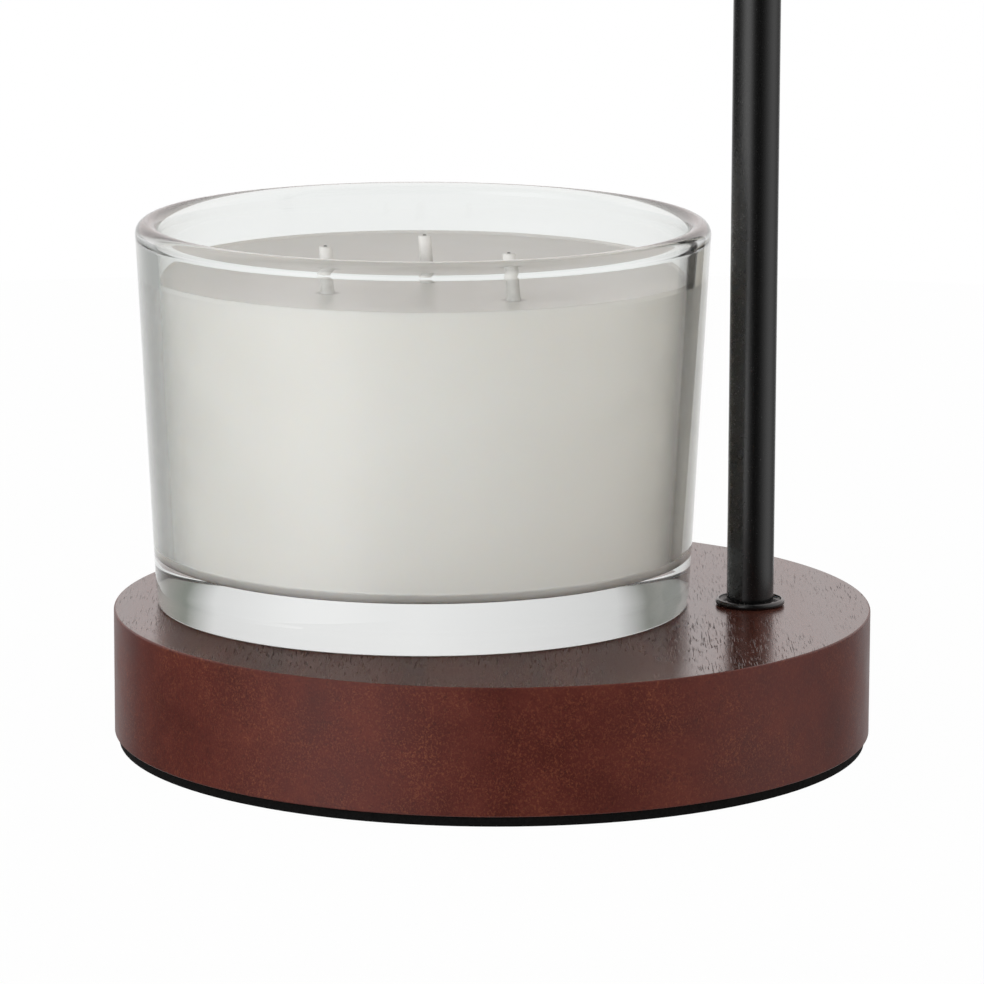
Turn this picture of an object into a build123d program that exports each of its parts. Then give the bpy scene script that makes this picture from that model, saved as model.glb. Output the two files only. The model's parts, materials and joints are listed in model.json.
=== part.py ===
from build123d import *
import math
import os

# Candle warmer lamp, in millimetres. The origin is the centre of the foot pad's
# underside, +Z is up, the pole stands on +X and the mains inlet faces +Y.

# ---------------------------------------------------------------- fits
thread_fit = 0.02      # radial, between a screw or plug and its own hole
running_fit = 0.05     # radial, between a shaft and the bore it turns or slides in
face_gap = 0.05        # between flat faces that turn on each other
play = 0.5             # round a piece that lies loose in its pocket
past = 1.0             # how far a cut runs beyond the face it opens

# ---------------------------------------------------------------- base
base_radius = 75.0
base_thickness = 24.8
base_edge_round = 0.7
pad_thickness = 2.0
pad_inset = 0.9

ballast_margin = 35.0       # from the plate's edge to the base's, were they concentric
ballast_thickness = 6.0
ballast_sink = 0.4
ballast_offset_x = -16.0
ballast_offset_y = -12.0
ballast_screw_inset = 12.0
ballast_screw_count = 3
ballast_screw_radius = 1.8
ballast_screw_head = 3.8
ballast_screw_grip = 9.0

# ---------------------------------------------------------------- pole
pole_inset = 23.8           # from the base's edge to the pole's centre line
pole_radius = 4.65
pole_wall = 0.65
pole_length = 211.5
flange_radius = 6.85
flange_height = 1.3
flange_floor = 0.45
flange_root = 0.8

nipple_wall = 1.2
nipple_in_pole = 12.0
pole_pocket_radius = 10.5
pole_pocket_roof = 6.0
pole_washer_radius = 9.5
pole_washer_thickness = 1.2
pole_nut_flats = 13.0
pole_nut_thickness = 5.0
nipple_below_nut = 1.3

# ---------------------------------------------------------------- mains inlet
inlet_height = 11.0
inlet_bore = 3.6
inlet_wall = 1.4
inlet_flange_radius = 7.2
inlet_flange_thickness = 2.2
inlet_length = 15.0
inlet_inset = 0.1

block_width = 16.0
block_length = 15.0
block_height = 11.0
block_wire_radius = 1.4
block_wire_spacing = 8.0
block_screw_radius = 1.5
block_screw_depth = 5.0
block_screw_spacing = 7.5
block_fix_length = 18.0
block_from_inlet = 2.0
terminal_pocket_margin = 2.5

# ---------------------------------------------------------------- inner leads
lead_radius = 2.1
lead_play = 0.5           # under the groove's roof and inside the tubes
groove_side_play = 1.6    # beside the lead, for its bends
lead_floor = 5.0          # height of the lead's centre beside the pole
lead_turns = (8.0, 18.0, 11.0)
lead_behind_block = 9.9   # from the terminal block to the run across the base
lead_corner_back = 21.2   # from the pole's centre line to the run's far corner
lead_corner_y = 16.0

# ---------------------------------------------------------------- mast and its clamp
mast_radius = 3.8
mast_wall = 0.8
mast_rise = 55.0
mast_spare = 0.5
mast_bush_length = 6.0
collar_radius = 9.0
collar_length = 20.0
collar_on_pole = 8.0
collar_edge = 0.8
collar_grub_radius = 2.0
grub_sink = 0.3
grub_socket_radius = 1.1
grub_socket_depth = 1.6

screw_radius = 2.0
screw_above_collar_foot = 14.0
clamp_knob_radius = 7.0
clamp_knob_length = 9.0
clamp_knob_gap = 1.5
clamp_knob_flutes = 12
clamp_knob_flute_radius = 0.8
clamp_knob_edge = 0.8
screw_in_knob = 6.0

# ---------------------------------------------------------------- swivel
seat_gap = 0.3
seat_flange_radius = 9.0
seat_flange_thickness = 3.4
seat_socket_depth = 2.2
spigot_radius = 5.0
spigot_bore = 3.0
spigot_above_clip = 1.2
swivel_washer_radius = 8.5
swivel_washer_thickness = 0.6
clip_radius = 7.5
clip_thickness = 1.0
clip_groove_depth = 0.8
clip_mouth = 6.8

# ---------------------------------------------------------------- hub and dimmer
hub_radius = 13.0
hub_wall = 1.5
hub_floor = 3.0
hub_edge = 0.8
arm_above_hub_foot = 13.65
dimmer_above_arm = 7.0
dimmer_side = 14.4
dimmer_height = 10.0
cap_thickness = 2.5
cap_lip_depth = 2.0
cap_lip_wall = 0.8
bushing_radius = 3.6
bushing_above_cap = 2.4
dimmer_nut_flats = 10.0
dimmer_nut_thickness = 1.8
shaft_radius = 3.0
shaft_below_cap = 2.0
shaft_above_cap = 10.5
knob_radius = 10.0
knob_height = 12.0
knob_gap = 0.6
knob_recess_radius = 6.8
knob_recess_depth = 2.8
knob_flutes = 20
knob_flute_radius = 0.7
knob_edge = 1.2
pointer_length = 6.0
pointer_width = 1.0
pointer_depth = 0.4

# ---------------------------------------------------------------- arm
arm_radius = 4.0
arm_wall = 1.1
arm_reach = 64.0
boss_radius = 6.5
boss_length = 9.0
arm_grub_radius = 1.5
arm_grub_place = 5.0
arm_lead_turn = 4.5
arm_lead_offset = 6.4
slot_half_width = 3.2
slot_half_angle = 78.0

# ---------------------------------------------------------------- head
knuckle_radius = 7.0
knuckle_length = 18.0
tilt_washer_thickness = 0.6
stop_collar_length = 6.0
finial_length = 6.0
finial_plug = 4.4
finial_round = 2.0

cup_radius = 18.0
cup_wall = 2.0
cup_roof = 2.0
cup_roof_below_arm = 11.0
cup_edge = 2.5
cup_body_height = 18.0
cup_thread_length = 12.0
cup_thread_step = 1.0
neck_bore = 2.7

holder_radius = 13.5
holder_length = 18.0
pin_spacing = 10.0
pin_hole_radius = 2.7
pin_hole_depth = 9.0
pin_radius = 1.2
pin_head_radius = 2.4
pin_head_length = 2.0
pin_length = 7.0
contact_width = 3.0
contact_thickness = 0.5
contact_height = 1.6
holder_screw_radius = 1.4
holder_screw_head = 2.6
holder_screw_head_depth = 2.0
holder_screw_spacing = 16.0

shade_thickness = 1.0
shade_shoulder_radius = 21.5
shade_rim_radius = 42.0
shade_height = 71.0
shade_belly = 4.3
shade_hem_radius = 1.3
shade_crown_height = 29.0
shade_lap = 4.0
shade_vents = 12
shade_vent_width = 2.6
shade_vent_height = 11.0
shade_vent_from_top = 7.0
shade_ring_radius = 20.5
shade_ring_height = 5.0
shade_ring_notches = 16
shade_ring_notch_radius = 0.7

bulb_length = 53.0
bulb_radius = 25.0
bulb_base_radius = 9.5
bulb_base_length = 13.0
bulb_wall = 1.5
bulb_rim_height = 3.0
bulb_flare = 5.0
lens_thickness = 2.2
lens_sink = 0.5
capsule_radius = 4.0
capsule_length = 20.0
capsule_round = 3.6

# ---------------------------------------------------------------- candle
candle_to_pole = 3.6        # between the tumbler's rim and the pole
candle_y = 3.4
jar_foot_radius = 53.1
jar_rim_radius = 56.75
jar_height = 76.3
jar_wall = 4.2
jar_floor = 10.0
jar_foot_round = 1.2
jar_inner_round = 5.0
headspace = 10.1
wick_radius = 1.3
wick_above_wax = 8.6
wick_places = ((-17.9, -24.9), (1.0, -10.0), (17.4, -33.0))
tab_radius = 6.5
tab_thickness = 0.5
tab_neck_radius = 2.3
tab_neck_height = 3.0

# ---------------------------------------------------------------- places that follow
pole_x = base_radius - pole_inset
ballast_radius = base_radius - ballast_margin
ballast_screw_circle = ballast_radius - ballast_screw_inset

base_top = pad_thickness + base_thickness
pole_top = base_top + pole_length
pole_bore = pole_radius - pole_wall

nipple_radius = pole_bore - thread_fit
washer_top = base_top - pole_pocket_roof
washer_foot = washer_top - pole_washer_thickness
nut_foot = washer_foot - pole_nut_thickness
nipple_foot = nut_foot - nipple_below_nut
nipple_bore = nipple_radius - nipple_wall

ballast_top = pad_thickness + ballast_sink + ballast_thickness
ballast_foot = pad_thickness + ballast_sink

inlet_face = base_radius - inlet_inset
inlet_back = inlet_face - inlet_length
block_back = inlet_back - block_from_inlet
block_front = block_back - block_length
block_foot = inlet_height - block_height / 2
block_middle = (block_front + block_back) / 2
block_top = inlet_height + block_height / 2

lead_row = block_front - lead_behind_block
lead_corner_x = pole_x - lead_corner_back

collar_foot = pole_top - collar_on_pole
collar_top = collar_foot + collar_length
screw_height = collar_foot + screw_above_collar_foot

mast_bore = mast_radius - mast_wall
mast_foot = pole_top - mast_rise - mast_spare - mast_bush_length
seat_foot = collar_top + seat_gap
mast_top = seat_foot + seat_socket_depth
seat_top = seat_foot + seat_flange_thickness
swivel_washer_top = seat_top + swivel_washer_thickness

hub_foot = swivel_washer_top + face_gap
hub_floor_top = hub_foot + hub_floor
clip_foot = hub_floor_top + face_gap
clip_top = clip_foot + clip_thickness
spigot_top = clip_top + spigot_above_clip
arm_height = hub_foot + arm_above_hub_foot
dimmer_foot = arm_height + dimmer_above_arm
hub_top = dimmer_foot + dimmer_height
hub_bore = hub_radius - hub_wall
boss_end = pole_x - hub_radius - boss_length
cap_top = hub_top + cap_thickness
knob_foot = cap_top + knob_gap
knob_top = knob_foot + knob_height

shade_x = pole_x - arm_reach
knuckle_right = shade_x + knuckle_length / 2
knuckle_left = shade_x - knuckle_length / 2
stop_collar_left = knuckle_right + face_gap + tilt_washer_thickness
arm_left = knuckle_left - face_gap - tilt_washer_thickness
arm_right = pole_x - hub_bore
arm_bore = arm_radius - arm_wall

cup_roof_height = arm_height - cup_roof_below_arm
cup_inside_top = cup_roof_height - cup_roof
shade_top = cup_roof_height - cup_body_height
cup_foot = shade_top - cup_thread_length
thread_radius = cup_radius - cup_thread_step
holder_foot = cup_inside_top - holder_length
bulb_top = holder_foot
bulb_foot = bulb_top - bulb_length
shade_rim = shade_top - shade_height
shade_ring_top = shade_top - shade_thickness
crown_foot = shade_top - shade_crown_height
crown_outset = shade_thickness + thread_fit

candle_x = pole_x - pole_radius - candle_to_pole - jar_rim_radius
wax_foot = base_top + jar_floor
wax_top = base_top + jar_height - headspace


# ---------------------------------------------------------------- shape helpers
def rod(radius, low, high, x=0.0, y=0.0):
    """Solid cylinder along Z."""
    return Pos(x, y, (low + high) / 2) * Cylinder(radius, high - low)


def ring(outer, inner, low, high, x=0.0, y=0.0):
    """Tube along Z."""
    return rod(outer, low, high, x, y) - rod(inner, low - past, high + past, x, y)


def rod_x(radius, left, right, y, z):
    """Solid cylinder along X."""
    return Pos((left + right) / 2, y, z) * Rot(0, 90, 0) * Cylinder(radius, right - left)


def ring_x(outer, inner, left, right, y, z):
    """Tube along X."""
    return rod_x(outer, left, right, y, z) - rod_x(inner, left - past, right + past, y, z)


def rod_y(radius, front, back, x, z):
    """Solid cylinder along Y."""
    return Pos(x, (front + back) / 2, z) * Rot(90, 0, 0) * Cylinder(radius, back - front)


def block(left, right, front, back, low, high):
    """Box between opposite corners."""
    middle = Pos((left + right) / 2, (front + back) / 2, (low + high) / 2)
    return middle * Box(right - left, back - front, high - low)


def turned(outline, x=0.0, y=0.0):
    """Solid turned about Z from edges drawn in the XZ plane."""
    return Pos(x, y, 0) * revolve(make_face(outline), Axis.Z)


def turned_points(points, x=0.0, y=0.0):
    """Solid turned about Z from straight sides between (radius, height) points."""
    corners = [(radius, 0, height) for radius, height in points]
    return turned([Polyline(*corners, close=True)], x, y)


def hexagon(flats, low, high, x=0.0, y=0.0):
    """Hexagonal prism along Z."""
    sides = RegularPolygon(flats / 2, 6, major_radius=False)
    return Pos(x, y, low) * extrude(sides, high - low)


def around(count, radius):
    """Places evenly spaced on a circle about Z."""
    return [Rot(0, 0, 360 * turn / count) * Pos(radius, 0, 0) for turn in range(count)]


def group(solids):
    """Separate solids kept in one node."""
    return Compound(children=list(solids))


def swept(points, radii, radius):
    """Round lead along straight runs joined by tangent arcs."""
    path = FilletPolyline(*points, radius=list(radii))
    start = Plane(origin=path @ 0, z_dir=path % 0)
    return sweep(start * Circle(radius), path=path)


# ---------------------------------------------------------------- base
def lead_points():
    """Corners of the supply lead: terminal block, across the base, up the pole."""
    return [
        (0, block_front, inlet_height),
        (0, lead_row, inlet_height),
        (lead_corner_x, lead_row, (inlet_height + lead_floor) / 2),
        (pole_x, lead_corner_y, lead_floor),
        (pole_x, 0, lead_floor),
        (pole_x, 0, spigot_top),
    ]


def lead_groove(start, end):
    """Open groove in the underside from one corner of the lead to the next."""
    width = lead_radius + groove_side_play
    roof = max(start[2], end[2]) + lead_radius + lead_play
    run = Edge.make_line((start[0], start[1]), (end[0], end[1]))
    middle = run @ 0.5
    turn = math.degrees(math.atan2(end[1] - start[1], end[0] - start[0]))
    slot = Rot(0, 0, turn) * extrude(Rectangle(run.length, 2 * width), roof)
    ends = rod(width, 0, roof, *start[:2]) + rod(width, 0, roof, *end[:2])
    return Pos(middle.X, middle.Y, 0) * slot + ends


def ballast_places():
    centre = Pos(ballast_offset_x, ballast_offset_y, 0)
    return [centre * place for place in around(ballast_screw_count, ballast_screw_circle)]


def countersunk(shank, head, low, high):
    """Countersunk screw with its head at the bottom."""
    return turned_points([
        (0, low), (head, low), (shank, low + head - shank), (shank, high), (0, high),
    ])


def base_disc():
    disc = rod(base_radius, pad_thickness, base_top)
    disc = fillet(disc.edges().group_by(Axis.Z)[-1], base_edge_round)
    disc -= rod(ballast_radius + play, 0, ballast_top, ballast_offset_x, ballast_offset_y)
    for place in ballast_places():
        disc -= place * rod(ballast_screw_radius + thread_fit, 0, ballast_top + ballast_screw_grip)
    disc -= rod(pole_pocket_radius, 0, washer_top, pole_x)
    disc -= rod(nipple_radius + thread_fit, 0, base_top + past, pole_x)
    for start, end in zip(lead_points()[1:4], lead_points()[2:5]):
        disc -= lead_groove(start, end)
    half = block_width / 2 + terminal_pocket_margin
    disc -= block(-half, half, lead_row - lead_radius - lead_play, inlet_back, 0, block_top)
    disc -= rod(block_screw_radius + thread_fit, 0, block_foot + block_fix_length, 0, block_middle)
    barrel = inlet_bore + inlet_wall
    disc -= rod_y(barrel + thread_fit, inlet_back - past, base_radius + past, 0, inlet_height)
    seat = inlet_face - inlet_flange_thickness
    disc -= rod_y(inlet_flange_radius + thread_fit, seat, base_radius + past, 0, inlet_height)
    return disc


def foot_pad():
    return rod(base_radius - pad_inset, 0, pad_thickness)


def ballast_plate():
    plate = rod(ballast_radius, ballast_foot, ballast_top, ballast_offset_x, ballast_offset_y)
    for place in ballast_places():
        plate -= place * countersunk(
            ballast_screw_radius + thread_fit, ballast_screw_head + thread_fit,
            ballast_foot, ballast_top,
        )
    return plate


def ballast_screws():
    end = ballast_top + ballast_screw_grip - thread_fit
    return group(
        place * countersunk(ballast_screw_radius, ballast_screw_head, ballast_foot, end)
        for place in ballast_places()
    )


def foot_flange():
    """Cupped washer: a rounded rim bead, a hollow and a raised root at the pole."""
    bead = flange_height / 2
    bore = pole_radius + thread_fit
    rim = flange_radius - bead
    outline = [
        Line((bore, 0, base_top), (rim, 0, base_top)),
        ThreePointArc(
            (rim, 0, base_top), (flange_radius, 0, base_top + bead), (rim, 0, base_top + 2 * bead),
        ),
        ThreePointArc(
            (rim, 0, base_top + flange_height),
            ((rim + bore) / 2, 0, base_top + flange_floor),
            (bore, 0, base_top + flange_root),
        ),
        Line((bore, 0, base_top + flange_root), (bore, 0, base_top)),
    ]
    return turned(outline, pole_x)


def pole_tube():
    return ring(pole_radius, pole_bore, base_top, pole_top, pole_x)


def pole_nipple():
    top = base_top + nipple_in_pole
    return ring(nipple_radius, nipple_bore, nipple_foot, top, pole_x)


def pole_washer():
    bore = nipple_radius + thread_fit
    return ring(pole_washer_radius, bore, washer_foot, washer_top, pole_x)


def pole_nut():
    nut = hexagon(pole_nut_flats, nut_foot, washer_foot, pole_x)
    return nut - rod(nipple_radius + thread_fit, nut_foot - past, washer_foot + past, pole_x)


def cord_gland():
    seat = inlet_face - inlet_flange_thickness
    gland = rod_y(inlet_flange_radius, seat, inlet_face, 0, inlet_height)
    gland += rod_y(inlet_bore + inlet_wall, inlet_back, seat, 0, inlet_height)
    return gland - rod_y(inlet_bore, inlet_back - past, inlet_face + past, 0, inlet_height)


def block_screw_places():
    half = block_wire_spacing / 2
    reach = block_screw_spacing / 2
    rows = (block_middle - reach, block_middle + reach)
    return [(side, row) for side in (-half, half) for row in rows]


def terminal_block():
    half = block_width / 2
    body = block(-half, half, block_front, block_back, block_foot, block_top)
    for side in (-block_wire_spacing / 2, block_wire_spacing / 2):
        body -= rod_y(block_wire_radius, block_front - past, block_back + past, side, inlet_height)
    for x, y in block_screw_places():
        body -= rod(block_screw_radius + thread_fit, block_foot - past, inlet_height, x, y)
    body -= rod(block_screw_radius + thread_fit, block_foot - past, block_top + past, 0, block_middle)
    return body


def terminal_screws():
    """Four wire screws and the one that holds the block to the wood."""
    wire_screws = [
        rod(block_screw_radius, block_foot, block_foot + block_screw_depth - thread_fit, x, y)
        for x, y in block_screw_places()
    ]
    fixing = rod(block_screw_radius, block_foot, block_foot + block_fix_length, 0, block_middle)
    return group(wire_screws + [fixing])


def supply_lead():
    upward = nipple_foot - lead_floor
    return swept(lead_points(), [*lead_turns, upward], lead_radius)


# ---------------------------------------------------------------- mast and its clamp
def socket_screw(radius, face, tip):
    """Grub screw along X: hexagon socket at the face, flat end at the tip."""
    left, right = sorted((face, tip))
    screw = rod_x(radius, left, right, 0, 0)
    toward = math.copysign(grub_socket_depth, tip - face)
    socket_left, socket_right = sorted((face, face + toward))
    return screw - rod_x(grub_socket_radius, socket_left, socket_right, 0, 0)


def clamp_collar():
    collar = rod(collar_radius, collar_foot, collar_top, pole_x)
    collar = fillet(collar.edges().filter_by(GeomType.CIRCLE), collar_edge)
    collar -= rod(pole_radius + thread_fit, collar_foot - past, pole_top, pole_x)
    collar -= rod(mast_radius + running_fit, collar_foot, collar_top + past, pole_x)
    hole = screw_radius + running_fit
    collar -= rod_x(hole, pole_x, pole_x + collar_radius + past, 0, screw_height)
    grub = collar_grub_radius + thread_fit
    grub_height = collar_foot + collar_on_pole / 2
    return collar - rod_x(grub, pole_x - collar_radius - past, pole_x, 0, grub_height)


def collar_grub():
    grub_height = collar_foot + collar_on_pole / 2
    face = pole_x - collar_radius + grub_sink
    tip = pole_x - pole_radius - thread_fit
    return Pos(0, 0, grub_height) * socket_screw(collar_grub_radius, face, tip)


def mast_tube():
    return ring(mast_radius, mast_bore, mast_foot + mast_bush_length, mast_top, pole_x)


def mast_bush():
    """Nylon end bush: slides in the pole, and stops under the collar's step."""
    top = mast_foot + mast_bush_length
    return ring(pole_bore - running_fit, mast_bore, mast_foot, top, pole_x)


def swivel_seat():
    seat = rod(seat_flange_radius, seat_foot, seat_top, pole_x)
    seat += rod(spigot_radius, seat_top, spigot_top, pole_x)
    seat -= ring(spigot_radius + past, spigot_radius - clip_groove_depth, clip_foot, clip_top, pole_x)
    seat -= rod(spigot_bore, seat_foot - past, spigot_top + past, pole_x)
    return seat - rod(mast_radius + thread_fit, seat_foot - past, mast_top, pole_x)


def swivel_washer():
    bore = spigot_radius + thread_fit
    return ring(swivel_washer_radius, bore, seat_top, swivel_washer_top, pole_x)


def swivel_clip():
    """Open retaining ring in the spigot's groove."""
    bore = spigot_radius - clip_groove_depth + thread_fit
    top = clip_top - thread_fit
    clip = ring(clip_radius, bore, clip_foot + thread_fit, top, pole_x)
    half = clip_mouth / 2
    end = pole_x + clip_radius + past
    return clip - block(pole_x, end, -half, half, clip_foot - past, clip_top + past)


def clamp_screw():
    tip = pole_x + mast_radius + running_fit
    head = pole_x + collar_radius + clamp_knob_gap + screw_in_knob
    return rod_x(screw_radius, tip, head, 0, screw_height)


def fluted(radius, length, flutes, flute_radius, edge):
    """Grip along Z from height 0, with rounded rims and flutes down its side."""
    grip = rod(radius, 0, length)
    grip = fillet(grip.edges().filter_by(GeomType.CIRCLE), edge)
    for place in around(flutes, radius + flute_radius / 2):
        grip -= place * rod(flute_radius, -past, length + past)
    return grip


def clamp_knob():
    knob = fluted(
        clamp_knob_radius, clamp_knob_length, clamp_knob_flutes,
        clamp_knob_flute_radius, clamp_knob_edge,
    )
    knob -= rod(screw_radius + thread_fit, -past, screw_in_knob)
    face = pole_x + collar_radius + clamp_knob_gap
    return Pos(face, 0, screw_height) * Rot(0, 90, 0) * knob


# ---------------------------------------------------------------- hub and dimmer
def arm_grub_spots():
    """Middle of the hub boss's screw and of the stop collar's screw, along the arm."""
    return [
        (boss_end + arm_grub_place, boss_radius),
        (stop_collar_left + stop_collar_length / 2, knuckle_radius),
    ]


def grub_hole(x, outside):
    return rod(arm_grub_radius + thread_fit, arm_height - outside - past, arm_height, x)


def hub_body():
    hub = rod(hub_radius, hub_foot, hub_top, pole_x)
    hub = fillet(hub.edges().group_by(Axis.Z)[0], hub_edge)
    hub += rod_x(boss_radius, boss_end, pole_x, 0, arm_height)
    hub -= rod(hub_bore, hub_floor_top, hub_top + past, pole_x)
    hub -= rod(spigot_radius + running_fit, hub_foot - past, hub_floor_top + past, pole_x)
    hub -= rod_x(arm_radius + thread_fit, boss_end - past, pole_x, 0, arm_height)
    return hub - grub_hole(*arm_grub_spots()[0])


def hub_cap():
    """Cover with a lip that snaps into the hub."""
    cap = rod(hub_radius, hub_top, cap_top, pole_x)
    cap = fillet(cap.edges().group_by(Axis.Z)[-1], hub_edge)
    lip = hub_bore - thread_fit
    cap += ring(lip, lip - cap_lip_wall, hub_top - cap_lip_depth, hub_top, pole_x)
    return cap - rod(bushing_radius + thread_fit, hub_top - past, cap_top + past, pole_x)


def dimmer_module():
    half = dimmer_side / 2
    module = block(pole_x - half, pole_x + half, -half, half, dimmer_foot, hub_top)
    module += rod(bushing_radius, hub_top, cap_top + bushing_above_cap, pole_x)
    shaft_hole = shaft_radius + running_fit
    return module - rod(shaft_hole, cap_top - shaft_below_cap, knob_top, pole_x)


def dimmer_nut():
    nut = hexagon(dimmer_nut_flats, cap_top, cap_top + dimmer_nut_thickness, pole_x)
    return nut - rod(bushing_radius + thread_fit, cap_top - past, knob_top, pole_x)


def dimmer_shaft():
    low = cap_top - shaft_below_cap + face_gap
    return rod(shaft_radius, low, cap_top + shaft_above_cap, pole_x)


def dimmer_knob():
    knob = fluted(knob_radius, knob_height, knob_flutes, knob_flute_radius, knob_edge)
    knob -= rod(knob_recess_radius, -past, knob_recess_depth)
    knob -= rod(shaft_radius + thread_fit, -past, cap_top + shaft_above_cap - knob_foot)
    outer = knob_radius - knob_edge
    knob -= block(
        -outer, pointer_length - outer, -pointer_width / 2, pointer_width / 2,
        knob_height - pointer_depth, knob_height + past,
    )
    return Pos(pole_x, 0, knob_foot) * knob


def dimmer_lead():
    """Lead that hangs from the dimmer and meets the supply lead in the swivel."""
    return rod(lead_radius, spigot_top + face_gap, dimmer_foot, pole_x)


# ---------------------------------------------------------------- arm
def arm_tube():
    """Cross arm, with a slot under the knuckle that lets the lamp's lead tilt."""
    tube = ring_x(arm_radius, arm_bore, arm_left, arm_right, 0, arm_height)
    wedge = 2 * arm_radius
    spread = wedge * math.tan(math.radians(slot_half_angle))
    outline = Polyline((0, 0), (spread, -wedge), (-spread, -wedge), close=True)
    slot = extrude(Plane.YZ * make_face(outline), slot_half_width, both=True)
    return tube - Pos(shade_x, 0, arm_height) * slot


def arm_finial():
    """Round-nosed plug that closes the arm and holds the knuckle on."""
    nose = rod_x(knuckle_radius, arm_left - finial_length, arm_left, 0, arm_height)
    nose = fillet(nose.edges().group_by(Axis.X)[0], finial_round)
    return nose + rod_x(arm_bore - thread_fit, arm_left, arm_left + finial_plug, 0, arm_height)


def stop_collar():
    right = stop_collar_left + stop_collar_length
    bore = arm_radius + thread_fit
    collar = ring_x(knuckle_radius, bore, stop_collar_left, right, 0, arm_height)
    return collar - grub_hole(*arm_grub_spots()[1])


def arm_grubs():
    """Two grub screws that bite on the arm from below."""
    screws = []
    for x, outside in arm_grub_spots():
        length = outside - grub_sink - arm_radius - thread_fit
        screw = rod(arm_grub_radius, 0, length) - rod(grub_socket_radius, -past, grub_socket_depth)
        screws.append(Pos(x, 0, arm_height - outside + grub_sink) * screw)
    return group(screws)


def tilt_washers():
    """Nylon washers on both sides of the knuckle."""
    bore = arm_radius + thread_fit
    left = ring_x(knuckle_radius, bore, arm_left, arm_left + tilt_washer_thickness, 0, arm_height)
    start = stop_collar_left - tilt_washer_thickness
    return group([left, ring_x(knuckle_radius, bore, start, stop_collar_left, 0, arm_height)])


def arm_lead():
    """Lead through the arm, turned up to the dimmer."""
    end = pole_x - arm_lead_offset
    start = shade_x + lead_radius + play
    points = [(start, 0, arm_height), (end, 0, arm_height), (end, 0, dimmer_foot)]
    return swept(points, [arm_lead_turn], lead_radius)


# ---------------------------------------------------------------- head
def socket_cup():
    """Lamp cup with a thread for the shade, and the knuckle that hangs on the arm."""
    cup = rod(cup_radius, shade_top, cup_roof_height, shade_x)
    cup = fillet(cup.edges().group_by(Axis.Z)[-1], cup_edge)
    cup += rod(thread_radius, cup_foot, shade_top, shade_x)
    cup += rod(knuckle_radius, cup_roof_height - cup_edge, arm_height, shade_x)
    cup += rod_x(knuckle_radius, knuckle_left, knuckle_right, 0, arm_height)
    cup -= rod(cup_radius - cup_wall, shade_top, cup_inside_top, shade_x)
    cup -= rod(thread_radius - cup_wall / 2, cup_foot - past, shade_top, shade_x)
    cup -= rod_x(arm_radius + running_fit, knuckle_left - past, knuckle_right + past, 0, arm_height)
    cup -= rod(neck_bore, cup_inside_top - past, arm_height, shade_x)
    for side in (-1, 1):
        x = shade_x + side * holder_screw_spacing / 2
        cup -= rod(holder_screw_radius + thread_fit, cup_inside_top - past, cup_roof_height + past, x)
    return cup


def holder_screws():
    """Two screws up through the lampholder into the cup's roof."""
    low = holder_foot + face_gap
    top = cup_roof_height - thread_fit
    screws = []
    for side in (-1, 1):
        screw = rod(holder_screw_head, low, low + holder_screw_head_depth)
        screw += rod(holder_screw_radius, low, top)
        screws.append(Pos(shade_x + side * holder_screw_spacing / 2, 0, 0) * screw)
    return group(screws)


def pin_sides():
    return [-pin_spacing / 2, pin_spacing / 2]


def lampholder():
    """Ceramic holder with two pin holes side by side along Y."""
    holder = rod(holder_radius, holder_foot, cup_inside_top, shade_x)
    for y in pin_sides():
        top = holder_foot + pin_hole_depth + contact_height
        holder -= rod(pin_hole_radius, holder_foot - past, top, shade_x, y)
    for side in (-1, 1):
        x = shade_x + side * holder_screw_spacing / 2
        recess = holder_foot + face_gap + holder_screw_head_depth
        holder -= rod(holder_screw_head + thread_fit, holder_foot - past, recess, x)
        holder -= rod(holder_screw_radius + thread_fit, holder_foot - past, cup_inside_top + past, x)
    return holder - rod(neck_bore, cup_inside_top - lead_radius, cup_inside_top + past, shade_x)


def holder_contacts():
    """Two brass springs at the roofs of the pin holes."""
    roof = holder_foot + pin_hole_depth + contact_height
    half = contact_width / 2
    strips = []
    for y in pin_sides():
        strip = block(-half, half, -half, half, roof - contact_thickness, roof)
        edge = half - contact_thickness
        strip += block(edge, half, -half, half, roof - contact_height, roof)
        strips.append(Pos(shade_x, y, 0) * strip)
    return group(strips)


def lamp_lead():
    """Lead from the arm's centre down to the lampholder."""
    return rod(lead_radius, cup_inside_top - lead_radius, arm_height, shade_x)


def shade_side(inset):
    """Bell curve from the shoulder to the rim, moved inwards by a wall."""
    shoulder = (shade_shoulder_radius - inset, 0, shade_top)
    rim = (shade_rim_radius - inset, 0, shade_rim)
    middle = (
        (shoulder[0] + rim[0]) / 2 + shade_belly, 0, (shade_top + shade_rim) / 2,
    )
    return ThreePointArc(shoulder, middle, rim)


def shade_wall(inset):
    """Sheet spun along the bell curve, inwards from its moved outer side."""
    outer = shade_side(inset)
    inner = shade_side(inset + shade_thickness)
    return turned([
        outer, Line(outer @ 1, inner @ 1), inner, Line(inner @ 0, outer @ 0),
    ], shade_x)


def shade():
    """Spun bell skirt with a rolled hem, whose top edge laps inside the crown."""
    skin = shade_wall(0)
    skin -= rod(shade_rim_radius, crown_foot + shade_lap, shade_top + past, shade_x)
    hem = shade_rim_radius - shade_thickness / 2
    roll = Pos(hem, 0, shade_rim) * Rot(90, 0, 0) * Circle(shade_hem_radius)
    return skin + Pos(shade_x, 0, 0) * revolve(roll, Axis.Z)


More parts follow.
